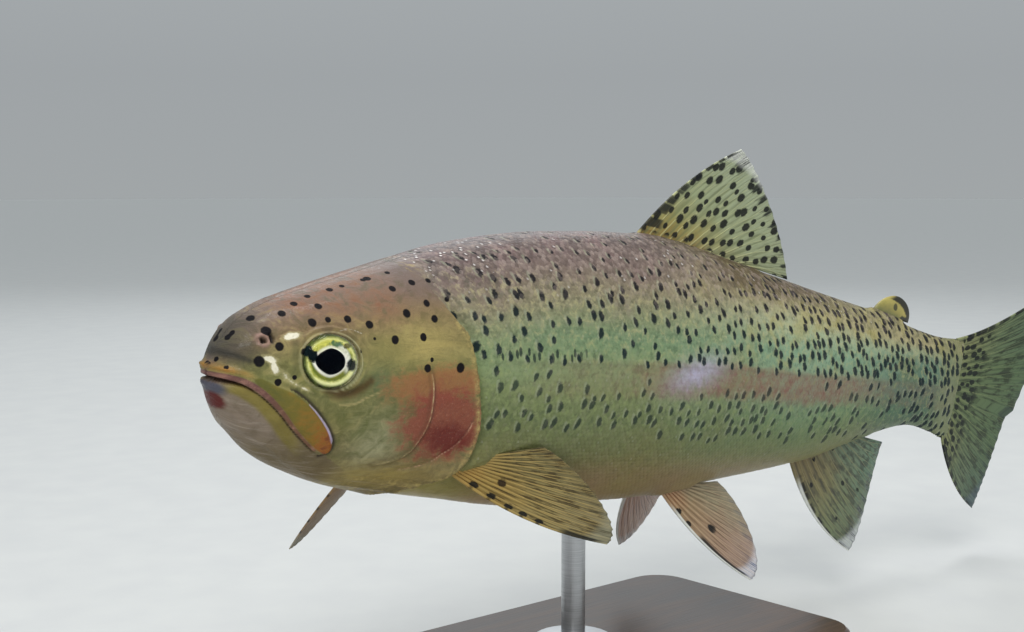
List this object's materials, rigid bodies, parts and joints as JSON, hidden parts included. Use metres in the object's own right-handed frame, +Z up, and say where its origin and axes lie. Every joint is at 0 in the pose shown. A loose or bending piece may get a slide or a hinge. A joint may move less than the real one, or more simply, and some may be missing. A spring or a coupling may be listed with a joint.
{
  "type": "rainbow trout",
  "caption": "Life-size still model of a rainbow trout, gently bent as if swimming, with a spotted back, a red gill cover and spread fins, held on a rod over a flat base.",
  "frame": {"origin": "centre of the underside of the stand's base", "axes": "+Z up, +X towards the tail, -X towards the head, -Y towards the fish's left side"},
  "size_m": [0.4176, 0.1097, 0.1797],
  "materials": {
    "skin": "wet-looking scaled skin, olive and mauve with dark spots and a pink stripe",
    "jaw_skin": "smooth skin, grey-mauve, wet-looking",
    "jaw_blade": "smooth olive-yellow to orange",
    "gill_cover": "smooth rose and orange, pearly",
    "eye": "clear dome over a golden iris and a black pupil",
    "fin": "thin ribbed fin skin with dark spots",
    "tail_fin": "ribbed olive-brown fin skin with streaked spots",
    "stand_wood": "dark stained, satin varnish",
    "stand_steel": "brushed"
  },
  "bodies": {
    "root": {"head": "skin", "trunk": "skin", "tail_stalk": "skin", "lower_jaw": "jaw_skin", "maxilla_left": "jaw_blade", "maxilla_right": "jaw_blade", "gill_cover_left": "gill_cover", "gill_cover_right": "gill_cover", "eye_left": "eye", "eye_right": "eye", "dorsal_fin": "fin", "adipose_fin": "fin", "anal_fin": "fin", "caudal_fin_upper": "tail_fin", "caudal_fin_lower": "tail_fin", "pectoral_fin_left": "fin", "pectoral_fin_right": "fin", "pelvic_fin_left": "fin", "pelvic_fin_right": "fin", "stand_base": "stand_wood", "stand_rod": "stand_steel"}
  },
  "joints": []
}
